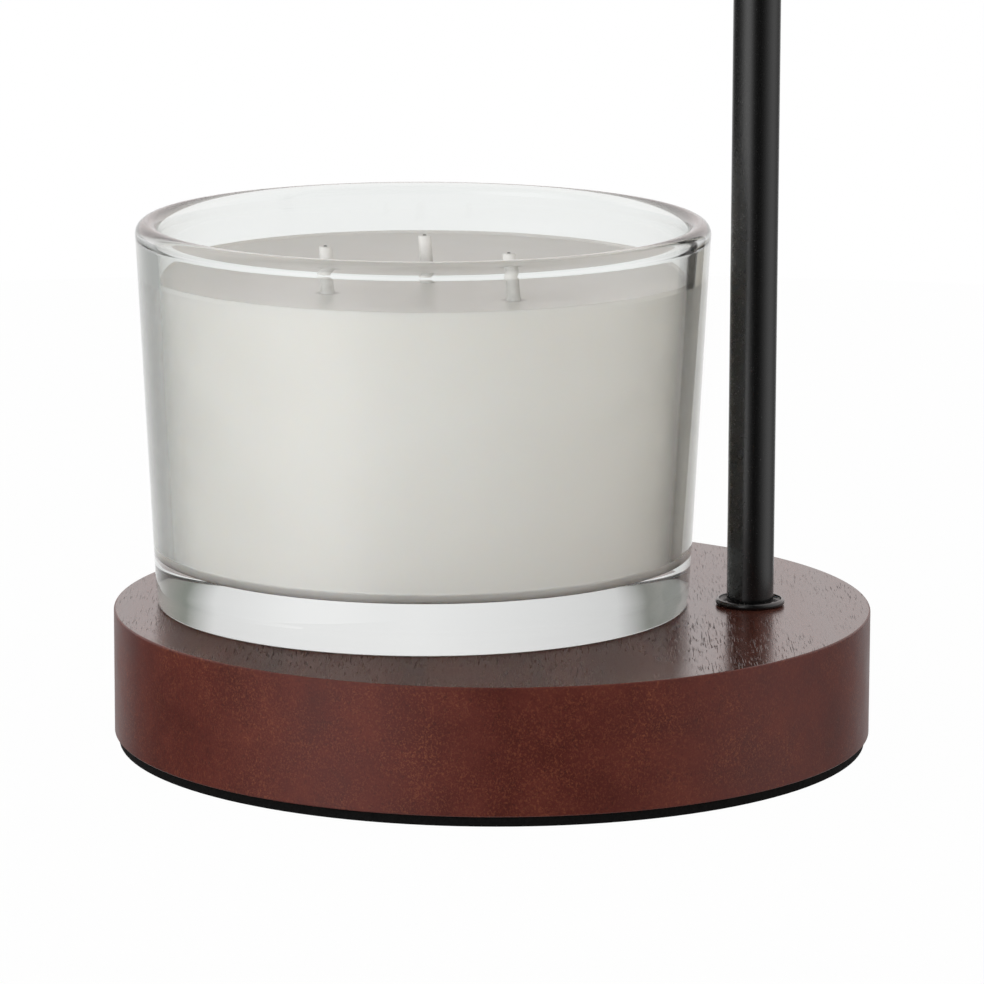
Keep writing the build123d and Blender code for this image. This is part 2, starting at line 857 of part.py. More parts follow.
def shade_crown():
    """Crown of the bell with a flat top ring and a row of heat vents."""
    reach = shade_rim_radius + crown_outset + past
    skin = shade_wall(-crown_outset)
    skin -= rod(reach, shade_rim - past, crown_foot, shade_x)
    bore = thread_radius + thread_fit
    shoulder = shade_shoulder_radius + crown_outset
    skin += ring(shoulder, bore, shade_ring_top, shade_top, shade_x)
    vent_top = shade_top - shade_vent_from_top
    half = shade_vent_width / 2
    slot = block(thread_radius, reach, -half, half, vent_top - shade_vent_height, vent_top)
    for place in around(shade_vents, 0):
        skin -= Pos(shade_x, 0, 0) * place * slot
    return skin


def shade_ring():
    """Notched ring nut that holds the shade up against the cup."""
    low = shade_ring_top - shade_ring_height
    nut = ring(shade_ring_radius, thread_radius + thread_fit, low, shade_ring_top, shade_x)
    for place in around(shade_ring_notches, shade_ring_radius):
        nut -= Pos(shade_x, 0, 0) * place * rod(shade_ring_notch_radius, low - past, shade_ring_top)
    return nut


def bulb_base():
    return rod(bulb_base_radius, bulb_top - bulb_base_length, bulb_top, shade_x)


def bulb_pins():
    """Two stepped contact pins of a twist-lock lamp."""
    pins = []
    for y in pin_sides():
        pin = rod(pin_radius, bulb_top, bulb_top + pin_length)
        pin += rod(pin_head_radius, bulb_top + pin_length - pin_head_length, bulb_top + pin_length)
        pins.append(Pos(shade_x, y, 0) * pin)
    return group(pins)


def bulb_reflector():
    """Flared glass bowl under the base, open at the front."""
    top = bulb_top - bulb_base_length
    rim = bulb_foot + bulb_rim_height
    neck = bulb_base_radius - thread_fit
    belly = (neck + bulb_radius) / 2 + bulb_flare
    height = (top + rim) / 2 + bulb_flare / 2
    wall = bulb_wall
    outline = [
        Line((0, 0, top), (neck, 0, top)),
        ThreePointArc((neck, 0, top), (belly, 0, height), (bulb_radius, 0, rim)),
        Line((bulb_radius, 0, rim), (bulb_radius, 0, bulb_foot)),
        Line((bulb_radius, 0, bulb_foot), (bulb_radius - wall, 0, bulb_foot)),
        Line((bulb_radius - wall, 0, bulb_foot), (bulb_radius - wall, 0, rim)),
        ThreePointArc(
            (bulb_radius - wall, 0, rim), (belly - wall, 0, height - wall / 2),
            (neck - wall, 0, top - wall),
        ),
        Line((neck - wall, 0, top - wall), (0, 0, top - wall)),
        Line((0, 0, top - wall), (0, 0, top)),
    ]
    return turned(outline, shade_x)


def bulb_lens():
    low = bulb_foot + lens_sink
    return rod(bulb_radius - bulb_wall - thread_fit, low, low + lens_thickness, shade_x)


def bulb_capsule():
    """Small quartz capsule that stands in the reflector's neck."""
    top = bulb_top - bulb_base_length - bulb_wall
    capsule = rod(capsule_radius, top - capsule_length, top, shade_x)
    return fillet(capsule.edges().group_by(Axis.Z)[0], capsule_round)


# ---------------------------------------------------------------- candle
def jar_outer_radius(height):
    share = (height - base_top) / jar_height
    return jar_foot_radius + (jar_rim_radius - jar_foot_radius) * share


def jar_inner_radius(height):
    return jar_outer_radius(height) - jar_wall


def candle_jar():
    """Tapered glass tumbler with a thick floor and a fire-rounded rim."""
    top = base_top + jar_height
    outside = turned_points([
        (0, base_top), (jar_foot_radius, base_top), (jar_rim_radius, top), (0, top),
    ])
    outside = fillet(outside.edges().group_by(Axis.Z)[0], jar_foot_round)
    hollow = turned_points([
        (0, wax_foot), (jar_inner_radius(wax_foot), wax_foot),
        (jar_inner_radius(top), top), (0, top),
    ])
    hollow = fillet(hollow.edges().group_by(Axis.Z)[0], jar_inner_round)
    jar = outside - hollow
    jar = fillet(jar.edges().group_by(Axis.Z)[-1], jar_wall / 2 - thread_fit)
    return Pos(candle_x, candle_y, 0) * jar


def wick_spots():
    return [Pos(candle_x + x, candle_y + y, 0) for x, y in wick_places]


def wick_tab():
    """Pressed sustainer: a disc on the jar's floor with a neck round the wick."""
    tab = rod(tab_radius, wax_foot, wax_foot + tab_thickness)
    tab += rod(tab_neck_radius, wax_foot, wax_foot + tab_neck_height)
    return tab - rod(wick_radius + thread_fit, wax_foot - past, wax_foot + tab_neck_height + past)


def wick_tabs():
    return group(spot * wick_tab() for spot in wick_spots())


def candle_wicks():
    wick = rod(wick_radius, wax_foot + thread_fit, wax_top + wick_above_wax)
    return group(spot * wick for spot in wick_spots())


def candle_wax():
    """Poured wax that fills the tumbler, with a bore for each wick and tab."""
    wax = turned_points([
        (0, wax_foot), (jar_inner_radius(wax_foot) - thread_fit, wax_foot),
        (jar_inner_radius(wax_top) - thread_fit, wax_top), (0, wax_top),
    ])
    wax = fillet(wax.edges().group_by(Axis.Z)[0], jar_inner_round)
    wax = Pos(candle_x, candle_y, 0) * wax
    for spot in wick_spots():
        wax -= spot * rod(wick_radius + thread_fit, wax_foot - past, wax_top + past)
        wax -= spot * rod(tab_neck_radius + thread_fit, wax_foot - past, wax_foot + tab_neck_height)
        wax -= spot * rod(tab_radius + thread_fit, wax_foot - past, wax_foot + tab_thickness)
    return wax


# ---------------------------------------------------------------- export
sub_parts = [
    base_disc, foot_pad, ballast_plate, ballast_screws, foot_flange,
    pole_tube, pole_nipple, pole_washer, pole_nut, cord_gland,
    terminal_block, terminal_screws, supply_lead,
    clamp_collar, collar_grub, clamp_screw, clamp_knob,
    mast_tube, mast_bush, swivel_seat, swivel_washer, swivel_clip,
    hub_body, hub_cap, dimmer_module, dimmer_nut, dimmer_lead, dimmer_shaft, dimmer_knob,
    arm_tube, arm_finial, stop_collar, arm_grubs, tilt_washers, arm_lead,
    socket_cup, lampholder, holder_contacts, holder_screws, lamp_lead,
    shade, shade_crown, shade_ring, bulb_base, bulb_pins, bulb_reflector, bulb_lens, bulb_capsule,
    candle_jar, candle_wax, candle_wicks, wick_tabs,
]

os.makedirs("parts", exist_ok=True)
for sub_part in sub_parts:
    export_step(sub_part(), f"parts/{sub_part.__name__}.step")
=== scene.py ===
import json
import math

import bmesh
import bpy
from mathutils import Matrix, Vector, noise


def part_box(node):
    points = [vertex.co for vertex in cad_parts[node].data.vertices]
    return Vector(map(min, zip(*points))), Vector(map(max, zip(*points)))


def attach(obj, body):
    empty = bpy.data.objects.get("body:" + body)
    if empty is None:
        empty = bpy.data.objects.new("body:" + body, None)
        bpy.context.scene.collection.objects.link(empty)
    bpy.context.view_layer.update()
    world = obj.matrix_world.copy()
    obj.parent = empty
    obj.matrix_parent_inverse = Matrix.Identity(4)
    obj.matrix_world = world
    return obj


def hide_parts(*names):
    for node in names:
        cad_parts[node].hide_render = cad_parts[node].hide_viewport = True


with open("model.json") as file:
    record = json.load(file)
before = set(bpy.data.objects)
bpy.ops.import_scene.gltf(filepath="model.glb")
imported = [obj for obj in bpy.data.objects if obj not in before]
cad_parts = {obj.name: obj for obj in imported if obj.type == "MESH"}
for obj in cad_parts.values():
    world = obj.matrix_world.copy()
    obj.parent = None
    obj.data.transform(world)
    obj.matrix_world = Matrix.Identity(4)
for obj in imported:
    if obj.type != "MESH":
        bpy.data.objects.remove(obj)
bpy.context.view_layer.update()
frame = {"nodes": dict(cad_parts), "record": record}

MM = 0.001
nodes = frame["nodes"]

# ------------------------------------------------------------------ sizes read from the frame


def middle(node):
    low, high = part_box(node)
    return (low + high) / 2


def half_width(node):
    low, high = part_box(node)
    return (high.x - low.x) / 2


BASE_LOW, BASE_HIGH = (corner.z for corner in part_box("base_disc"))
BASE_RADIUS = half_width("base_disc")
JAR = middle("candle_jar")
JAR_LOW, JAR_HIGH = (corner.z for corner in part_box("candle_jar"))
WAX_LOW, WAX_HIGH = (corner.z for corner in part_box("candle_wax"))
HEAD = middle("shade")
# On the shade's axis: its outer faces look away from this point and its inner ones towards it.
SHADE_HEART = (HEAD.x, HEAD.y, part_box("shade_crown")[0].z + 5 * MM)

# ------------------------------------------------------------------ sizes that the boxes don't give

# Tumbler.
JAR_FOOT_RADIUS = 53.1 * MM
JAR_RIM_RADIUS = 56.75 * MM
JAR_WALL = 4.2 * MM
JAR_LIP = 4.6 * MM                # thickness of the lip
JAR_LIP_TUCK = 26                 # degrees by which the lip's round runs on past its inner side
JAR_FOOT_ROUND = 0.5 * MM
JAR_FOOT_EASE = 25 * MM           # radius on which the wall turns in to the foot
JAR_FOOT_TURN = 10                # degrees of that turn
JAR_INNER_ROUND = 1.8 * MM        # of the corner between floor and wall
JAR_FLOOR = WAX_LOW - 0.15 * MM
FOOT_GAP = 0.06 * MM              # film of air under the foot

# Wax.
WAX_GAP = 0.12 * MM               # between the wax and the wall
WAX_BITE = 0.05 * MM              # of the wax into the floor and corner that it holds to
WAX_PARTING = 0.3 * MM            # above the corner, where the wax leaves the wall
WAX_CREEP = 0.7 * MM              # height that the wax creeps up at its edge
WAX_CREEP_ROUND = 1.3 * WAX_CREEP
WAX_DIP = 0.1 * MM                # of the surface towards the middle
WAXED_TO = WAX_HIGH - 0.3 * MM    # the wall is slightly rough inside up to here
WAXED_DEPTH = 0.5 * MM            # how far outside the inner wall a rough face can lie

# Wicks.
WICK_PLACES = ((-17.9, -24.9), (1.0, -10.0), (17.4, -33.0))    # mm from the tumbler's axis
WICK_RADIUS = 1.3 * MM
WICK_HEIGHT = 8.6 * MM            # above the wax
WICK_ROOT = 1.0 * MM              # below the wax
WICK_LEAN = 0.65 * MM             # of the tips, to the left
WICK_COLLAR = ((1.2, 0.7), (1.05, 1.1))    # share of the radius, mm above the root
WICK_STEM_LOW = 1.7 * MM          # above the root
WICK_STEM_HIGH = 0.35 * MM        # below the cut
WICK_STEPS = 14                   # rings of the slightly uneven stem
WICK_SWELL = (0.05, 700.0)        # share of the radius, and how quickly it changes with height
WICK_ROUND = 0.3 * MM             # of the cut's edge
WICK_HOLLOW_RADIUS = 0.32 * WICK_RADIUS
WICK_TIP = ((1.0, -0.08), (0.8, 0.05), (0.3, 0.12), (0, 0.1))    # share of the hollow's radius, mm up; a small mound painted near-black as shade

# Base.
EDGE_ROUND = 0.4 * MM
FACES_UP = 0.97                   # least upward part of a veneered face's normal
INLET_FLANGE = 2.2 * MM           # thickness of the inlet's flange
INLET_BARREL = 5.0 * MM           # radius of the inlet's barrel
INLET_FIT = 0.02 * MM
CUT_PAST = 4 * MM                 # how far a cut runs beyond the face it opens

# Floor.
FLOOR_RADIUS = 0.6
FLOOR_GLOW = 0.985                # share of the floor that is seen as plain white

# ------------------------------------------------------------------ node helpers


def colour_of(level):
    """A colour as it is, and a number as a grey."""
    return level if isinstance(level, tuple) else (level, level, level)


class Tree:
    """A node tree whose nodes are added by short calls. Values are numbers, colours or outputs."""

    def __init__(self, tree):
        self.tree = tree

    def add(self, kind, **values):
        node = self.tree.nodes.new(kind)
        for name, value in values.items():
            setattr(node, name, value)
        return node

    def link(self, out, into):
        self.tree.links.new(out, into)

    def put(self, value, socket):
        """Links an output to the socket, or gives the socket the value."""
        if isinstance(value, bpy.types.NodeSocket):
            self.link(value, socket)
        elif isinstance(value, tuple) and socket.type == "RGBA":
            socket.default_value = (*value, 1.0)
        else:
            socket.default_value = value

    def split(self, vector):
        node = self.add("ShaderNodeSeparateXYZ")
        self.link(vector, node.inputs[0])
        return node.outputs["X"], node.outputs["Y"], node.outputs["Z"]

    def math(self, operation, first, second):
        node = self.add("ShaderNodeMath", operation=operation)
        self.put(first, node.inputs[0])
        self.put(second, node.inputs[1])
        return node.outputs["Value"]

    def vector_math(self, operation, first, second):
        node = self.add("ShaderNodeVectorMath", operation=operation)
        self.put(first, node.inputs[0])
        self.put(second, node.inputs["Scale" if operation == "SCALE" else 1])
        return node.outputs["Value" if operation in ("DISTANCE", "DOT_PRODUCT") else "Vector"]

    def mix(self, factor, first, second):
        node = self.add("ShaderNodeMix", data_type="RGBA")
        for value, place in ((factor, 0), (first, 6), (second, 7)):
            self.put(value, node.inputs[place])
        return node.outputs[2]

    def mix_shaders(self, factor, first, second):
        node = self.add("ShaderNodeMixShader")
        for place, value in enumerate((factor, first, second)):
            self.link(value, node.inputs[place])
        return node.outputs[0]

    def span(self, value, low, high, easing="LINEAR"):
        """From 0 at the low value to 1 at the high one."""
        node = self.add("ShaderNodeMapRange", interpolation_type=easing)
        self.link(value, node.inputs["Value"])
        node.inputs["From Min"].default_value = low
        node.inputs["From Max"].default_value = high
        return node.outputs[0]

    def ramp(self, factor, stops, blend="LINEAR"):
        node = self.add("ShaderNodeValToRGB")
        self.link(factor, node.inputs["Fac"])
        node.color_ramp.interpolation = blend
        points = node.color_ramp.elements
        while len(points) < len(stops):
            points.new(1.0)
        for point, (position, colour) in zip(points, stops):
            point.position = position
            point.color = (*colour_of(colour), 1.0)
        return node.outputs["Color"]

    def seen_directly(self):
        """Light Path's outputs, and 1 on camera, glossy and transmission rays that have met no
        diffuse surface, otherwise 0."""
        path = self.add("ShaderNodeLightPath").outputs
        seen = path["Is Camera Ray"]
        for ray in ("Is Glossy Ray", "Is Transmission Ray"):
            seen = self.math("MAXIMUM", seen, path[ray])
        return path, self.math("MULTIPLY", seen, self.math("LESS_THAN", path["Diffuse Depth"], 0.5))


class Shader(Tree):
    """The tree of a new material, with its Principled BSDF."""

    def __init__(self, name):
        self.material = bpy.data.materials.new(name)
        self.material.use_nodes = True
        super().__init__(self.material.node_tree)
        self.bsdf = self.tree.nodes["Principled BSDF"]

    def set(self, **values):
        for name, value in values.items():
            self.bsdf.inputs[name.replace("_", " ")].default_value = value

    def place(self):
        return self.add("ShaderNodeTexCoord").outputs["Object"]

    def stretched(self, scale, degrees=0):
        """The place scaled by axis, after a turn about the upright."""
        mapping = self.add("ShaderNodeMapping")
        self.link(self.place(), mapping.inputs["Vector"])
        mapping.inputs["Scale"].default_value = scale
        mapping.inputs["Rotation"].default_value = (0, 0, math.radians(degrees))
        return mapping.outputs["Vector"]

    def noise(self, scale, detail=4.0, roughness=0.55, vector=None, distortion=0.0):
        node = self.add("ShaderNodeTexNoise")
        self.link(vector or self.place(), node.inputs["Vector"])
        node.inputs["Scale"].default_value = scale
        node.inputs["Detail"].default_value = detail
        node.inputs["Roughness"].default_value = roughness
        node.inputs["Distortion"].default_value = distortion
        return node.outputs["Fac"]

    def vary(self, factor, low, high):
        """From one level or colour to another over the usual spread of a noise."""
        return self.ramp(factor, [(0.3, low), (0.7, high)])

    def bump(self, height, distance, strength=1.0):
        node = self.add("ShaderNodeBump")
        self.link(height, node.inputs["Height"])
        node.inputs["Distance"].default_value = distance
        node.inputs["Strength"].default_value = strength
        self.link(node.outputs["Normal"], self.bsdf.inputs["Normal"])

    def colour(self, out):
        self.link(out, self.bsdf.inputs["Base Color"])

    def roughness(self, out):
        self.link(out, self.bsdf.inputs["Roughness"])


# ------------------------------------------------------------------ materials


def veneer_material():
    """Glossy stained veneer of the top, with short fine pores along the depth."""
    s = Shader("stained_veneer")
    broad = s.noise(160.0, 5.0, 0.6, s.stretched((1.0, 0.06, 1.0), 4), 0.4)
    stain = s.ramp(broad, [(0.30, (0.070, 0.020, 0.013)),
                           (0.50, (0.116, 0.038, 0.027)),
                           (0.72, (0.160, 0.060, 0.045))])
    fine = s.noise(4300.0, 2.0, 0.5, s.stretched((1.0, 0.045, 1.0), 6), 0.3)
    pores = s.ramp(fine, [(0.33, 0.0), (0.43, 1.0)])
    clusters = s.ramp(s.noise(45.0, 4.0, 0.65), [(0.42, 0.2), (0.60, 1.0)])
    whole = s.mix(clusters, (1.0, 1.0, 1.0), pores)
    s.colour(s.mix(whole, (0.022, 0.009, 0.008), stain))
    s.roughness(s.mix(whole, (0.50, 0.50, 0.50), s.vary(broad, 0.17, 0.23)))
    s.bump(whole, 0.04 * MM, 0.7)
    return s.material


def edge_material():
    """Stained, satin fibreboard of the side, with fine tan and dark flecks."""
    s = Shader("stained_edge")
    mottle = s.noise(95.0, 4.0, 0.65)
    stain = s.ramp(mottle, [(0.30, (0.086, 0.0135, 0.0090)),
                            (0.50, (0.110, 0.0175, 0.0115)),
                            (0.70, (0.138, 0.025, 0.015))])
    fibre = s.stretched((1.0, 1.0, 0.85))
    tan = s.ramp(s.noise(2600.0, 3.0, 0.6, fibre, 0.8), [(0.50, 0.0), (0.66, 1.0)])
    tan_zone = s.ramp(s.noise(55.0, 4.0, 0.7), [(0.40, 0.20), (0.64, 0.75)])
    side = s.mix(s.math("MULTIPLY", tan, tan_zone), stain, (0.270, 0.078, 0.034))
    dark = s.ramp(s.noise(1700.0, 2.0, 0.5, fibre, 0.6), [(0.30, 1.0), (0.42, 0.0)])
    s.colour(s.mix(s.math("MULTIPLY", dark, 0.40), side, (0.045, 0.009, 0.007)))
    s.roughness(s.vary(mottle, 0.34, 0.42))
    s.set(Specular_IOR_Level=0.32)
    s.bump(tan, 0.015 * MM, 0.5)
    return s.material


def foam_material():
    s = Shader("black_foam")
    s.colour(s.vary(s.noise(2500.0, 3.0), 0.003, 0.007))
    s.roughness(s.vary(s.noise(900.0), 0.80, 0.98))
    s.set(Specular_IOR_Level=0.15)
    s.bump(s.noise(3200.0, 2.0), 0.1 * MM, 0.7)
    return s.material


def glass_material(name, tint, wobble, rough=0.0):
    """Clear glass with a faint wobble, smooth unless it is given a roughness."""
    s = Shader(name)
    s.set(Base_Color=(*tint, 1.0), IOR=1.5, Transmission_Weight=1.0)
    if rough:
        s.roughness(s.vary(s.noise(60.0, 2.0), rough * 0.8, rough * 1.2))
    else:
        s.set(Roughness=0.0)
    s.bump(s.noise(35.0, 1.0, 0.4), wobble)
    return s.material


def wax_material():
    """Clouded white wax, greyed in a small spot round each wick as painted shade."""
    s = Shader("poured_wax")
    wax = s.vary(s.noise(28.0, 3.0, 0.5), (0.880, 0.866, 0.836), (0.915, 0.905, 0.880))
    nearest = 1.0
    for x, y in WICK_PLACES:
        foot = (JAR.x + x * MM, JAR.y + y * MM, WAX_HIGH)
        nearest = s.math("MINIMUM", s.vector_math("DISTANCE", s.place(), foot), nearest)
    centimetres = s.math("MULTIPLY", nearest, 100.0)
    # Painted shade: the wax is greyed in a small spot round each wick's foot.
    painted_shade_spot = s.ramp(centimetres, [(0.15, 1.0), (0.27, 0.0)])
    s.colour(s.mix(painted_shade_spot, wax, (0.60, 0.58, 0.55)))
    s.roughness(s.vary(s.noise(220.0), 0.34, 0.46))
    s.set(Subsurface_Weight=0.3, Subsurface_Scale=1.0,
          Subsurface_Radius=(4 * MM, 3.4 * MM, 2.8 * MM))
    s.bump(s.noise(140.0, 3.0), 0.1 * MM, 0.4)
    return s.material


def wick_material():
    """Waxed cotton, greyer towards its foot as painted shade."""
    s = Shader("waxed_wick")
    height = s.split(s.place())[2]
    share = s.math("DIVIDE", s.math("SUBTRACT", height, WAX_HIGH), WICK_HEIGHT)
    # Painted shade: each wick is greyed towards its foot, as if in shade.
    painted_foot_shade = s.ramp(share, [(0.45, (0.610, 0.602, 0.585)), (0.85, (0.930, 0.925, 0.910))])
    s.colour(s.mix(s.vary(s.noise(900.0), 0.0, 0.35), painted_foot_shade, (0.940, 0.935, 0.920)))
    s.roughness(s.vary(s.noise(600.0), 0.4, 0.6))
    s.bump(s.noise(1200.0), 0.15 * MM, 0.6)
    return s.material


# Painted shade: the wick's hollow is drawn as a near-black disc in the cut.
def wick_hollow_shade_material():
    s = Shader("wick_hollow_shade")
    s.colour(s.vary(s.noise(4000.0), 0.02, (0.10, 0.095, 0.09)))
    s.set(Roughness=0.9)
    return s.material


def coat_black(s):
    return s.vary(s.noise(300.0), 0.0022, 0.0034)


def orange_peel(s):
    s.bump(s.noise(2200.0, 2.0, 0.5), 0.005 * MM, 0.3)


def powder_material():
    """Satin black powder coat with its fine orange peel."""
    s = Shader("powder_coat")
    s.colour(coat_black(s))
    s.roughness(s.vary(s.noise(1800.0, 2.0), 0.22, 0.28))
    s.set(Specular_IOR_Level=0.8)
    orange_peel(s)
    return s.material


def shade_material():
    """Satin black outside, white enamel inside, told apart by which way the sheet faces."""
    s = Shader("shade_finish")
    outward = s.vector_math("SUBTRACT", s.place(), SHADE_HEART)
    normal = s.add("ShaderNodeTexCoord").outputs["Normal"]
    outside = s.math("GREATER_THAN", s.vector_math("DOT_PRODUCT", outward, normal), 0.0)
    white = s.vary(s.noise(120.0), (0.76, 0.755, 0.735), (0.82, 0.815, 0.795))
    s.colour(s.mix(outside, white, coat_black(s)))
    s.roughness(s.mix(outside, (0.42, 0.42, 0.42), s.vary(s.noise(1800.0, 2.0), 0.24, 0.30)))
    s.set(Specular_IOR_Level=0.6)
    orange_peel(s)
    return s.material


def moulded_material():
    s = Shader("black_moulding")
    s.colour(s.vary(s.noise(500.0), 0.008, 0.014))
    s.roughness(s.vary(s.noise(2600.0), 0.45, 0.6))
    s.bump(s.noise(3800.0, 2.0), 0.03 * MM, 0.5)
    return s.material


def metal_material(name, dark, light, rough, brushed):
    s = Shader(name)
    lines = s.stretched(brushed)
    s.colour(s.vary(s.noise(700.0, 3.0, 0.6, lines), dark, light))
    s.roughness(s.vary(s.noise(1400.0, 2.0, 0.5, lines), rough, rough + 0.12))
    s.set(Metallic=1.0)
    s.bump(s.noise(2400.0, 2.0, 0.5, lines), 0.01 * MM, 0.5)
    return s.material


def plain_material(name, dark, light, rough, grain, scale=600.0):
    s = Shader(name)
    s.colour(s.vary(s.noise(scale), dark, light))
    s.roughness(s.vary(s.noise(scale * 2), rough, rough + 0.15))
    s.bump(s.noise(scale * 3), grain, 0.5)
    return s.material


VENEER = veneer_material()
EDGE = edge_material()
FOAM = foam_material()
JAR_GLASS = glass_material("tumbler_glass", (0.985, 0.995, 0.990), 0.02 * MM)
WAXED_GLASS = glass_material("waxed_glass", (0.985, 0.992, 0.985), 0.02 * MM, 0.22)
LAMP_GLASS = glass_material("lamp_glass", (0.99, 0.99, 0.99), 0.01 * MM)
WAX = wax_material()
WICK = wick_material()
WICK_HOLLOW_SHADE = wick_hollow_shade_material()
POWDER = powder_material()
SHADE_COAT = shade_material()
MOULDING = moulded_material()
STEEL = metal_material("zinc_steel", (0.40, 0.40, 0.42), (0.60, 0.60, 0.61), 0.28,
                       (1.0, 1.0, 0.2))
BRASS = metal_material("bare_brass", (0.58, 0.42, 0.18), (0.76, 0.58, 0.29), 0.25,
                       (1.0, 1.0, 0.3))
MIRROR = metal_material("aluminised_glass", 0.80, 0.90, 0.05, (1.0, 1.0, 1.0))
NYLON = plain_material("natural_nylon", (0.62, 0.60, 0.55), (0.74, 0.72, 0.68), 0.4, 0.02 * MM)
CERAMIC = plain_material("white_ceramic", (0.70, 0.68, 0.64), (0.80, 0.78, 0.74), 0.5, 0.03 * MM)
SHEATH = plain_material("silicone_sheath", 0.010, 0.022, 0.5, 0.02 * MM)

# ------------------------------------------------------------------ mesh helpers

SMOOTH_BELOW = math.radians(32)   # edges that turn by more than this stay sharp
LONG_RUN = 4 * MM                 # a straight run longer than this gets its support points
SUPPORT = 0.2 * MM                # their distance from its ends


def finished(name, mesh, body, materials, stands_for):
    """Object from a bmesh: smooth but for sharp edges, on its body and in its slot."""
    for face in mesh.faces:
        face.smooth = True
    for edge in mesh.edges:
        edge.smooth = len(edge.link_faces) == 2 and edge.calc_face_angle(0.0) < SMOOTH_BELOW
    data = bpy.data.meshes.new(name)
    mesh.to_mesh(data)
    mesh.free()
    piece = bpy.data.objects.new(name, data)
    bpy.context.scene.collection.objects.link(piece)
    for material in materials:
        data.materials.append(material)
    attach(piece, body)
    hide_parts(*stands_for)


def arc(centre, size, start, end, steps):
    """Points on an arc in the (radius, height) plane, angles in degrees from +radius."""
    points = []
    for step in range(steps + 1):
        angle = math.radians(start + (end - start) * step / steps)
        points.append((centre[0] + size * math.cos(angle), centre[1] + size * math.sin(angle)))
    return points


def supported(profile):
    """Adds a point close to each end of a long run, so that its shading stays straight."""
    points = [profile[0]]
    for start, end in zip(profile, profile[1:]):
        run = math.dist(start, end)
        if run > LONG_RUN:
            for share in (SUPPORT / run, 1 - SUPPORT / run):
                points.append((start[0] + (end[0] - start[0]) * share,
                               start[1] + (end[1] - start[1]) * share))
        points.append(end)
    return points


def lathe(mesh, profile, x, y, segments, material=0):
    """Turns a (radius, height) profile about a vertical line. Radius 0 closes on the axis."""
    rings = []
    for r, z in supported(profile):
        if r <= 0:
            rings.append([mesh.verts.new((x, y, z))])
            continue
        angles = (2 * math.pi * step / segments for step in range(segments))
        rings.append([mesh.verts.new((x + r * math.cos(a), y + r * math.sin(a), z))
                      for a in angles])
    for low, high in zip(rings, rings[1:]):
        if len(low) == 1 and len(high) == 1:
            continue
        for step in range(segments):
            after = (step + 1) % segments
            if len(low) == 1:
                corners = (low[0], high[after], high[step])
            elif len(high) == 1:
                corners = (low[step], low[after], high[0])
            else:
                corners = (low[step], low[after], high[after], high[step])
            mesh.faces.new(corners).material_index = material
    return rings


def cut(mesh, cutter):
    """The first mesh with the second one's volume taken out of it."""
    holders = []
    for source in (mesh, cutter):
        data = bpy.data.meshes.new("holder")
        source.to_mesh(data)
        source.free()
        holders.append(bpy.data.objects.new("holder", data))
        bpy.context.scene.collection.objects.link(holders[-1])
    boolean = holders[0].modifiers.new("cut", "BOOLEAN")
    boolean.solver = "EXACT"
    boolean.object = holders[1]
    bpy.context.view_layer.update()
    result = bmesh.new()
    result.from_object(holders[0], bpy.context.evaluated_depsgraph_get())
    for holder in holders:
        bpy.data.objects.remove(holder)
    return result


# ------------------------------------------------------------------ candle


def outer_radius(z):
    share = (z - JAR_LOW) / (JAR_HIGH - JAR_LOW)
    return JAR_FOOT_RADIUS + (JAR_RIM_RADIUS - JAR_FOOT_RADIUS) * share


def inner_radius(z):
    return outer_radius(z) - JAR_WALL


def foot_profile():
    """From the middle of the foot round its edge and up to where the wall is straight."""
    foot = JAR_LOW + FOOT_GAP
    turn = math.radians(JAR_FOOT_TURN)
    edge = outer_radius(foot) - JAR_FOOT_EASE * (1 - math.cos(turn))
    centre = (edge - JAR_FOOT_ROUND * math.cos(turn), foot + JAR_FOOT_ROUND)
    above = centre[1] - JAR_FOOT_ROUND * math.sin(turn)
    ease = (outer_radius(foot) - JAR_FOOT_EASE, above + JAR_FOOT_EASE * math.sin(turn))
    return [(0, foot),
            *arc(centre, JAR_FOOT_ROUND, -90, -JAR_FOOT_TURN, 8),
            *arc(ease, JAR_FOOT_EASE, -JAR_FOOT_TURN, 0, 10)[1:]]


def lip_profile():
    """Over the rim, and down its inner side on to the thinner wall."""
    half = JAR_LIP / 2
    over = arc((outer_radius(JAR_HIGH - half) - half, JAR_HIGH - half), half,
               0, 180 + JAR_LIP_TUCK, 36)
    end, height = over[-1]
    turn = math.radians(JAR_LIP_TUCK)
    hollow = (inner_radius(height) - end) / (1 - math.cos(turn))
    under = arc((inner_radius(height) - hollow, height - hollow * math.sin(turn)), hollow,
                JAR_LIP_TUCK, 0, 12)
    return over + under[1:]


def make_jar():
    """Tumbler on a film of air, with a lip that is a little thicker on the inside than the wall."""
    mesh = bmesh.new()
    corner = JAR_FLOOR + JAR_INNER_ROUND
    profile = [*foot_profile(),
               *lip_profile(),
               (inner_radius(WAXED_TO), WAXED_TO),
               *arc((inner_radius(corner) - JAR_INNER_ROUND, corner), JAR_INNER_ROUND, 0, -90, 12),
               (0, JAR_FLOOR)]
    lathe(mesh, profile, JAR.x, JAR.y, 384)
    for face in mesh.faces:
        away = (face.calc_center_median() - JAR).to_2d().length
        high = max(vertex.co.z for vertex in face.verts)
        inside = away < inner_radius(high) + WAXED_DEPTH
        waxed = inside and JAR_FLOOR + 0.01 * MM < high <= WAXED_TO
        face.material_index = 1 if waxed else 0
    finished("glass_tumbler", mesh, "candle", [JAR_GLASS, WAXED_GLASS], ["candle_jar"])


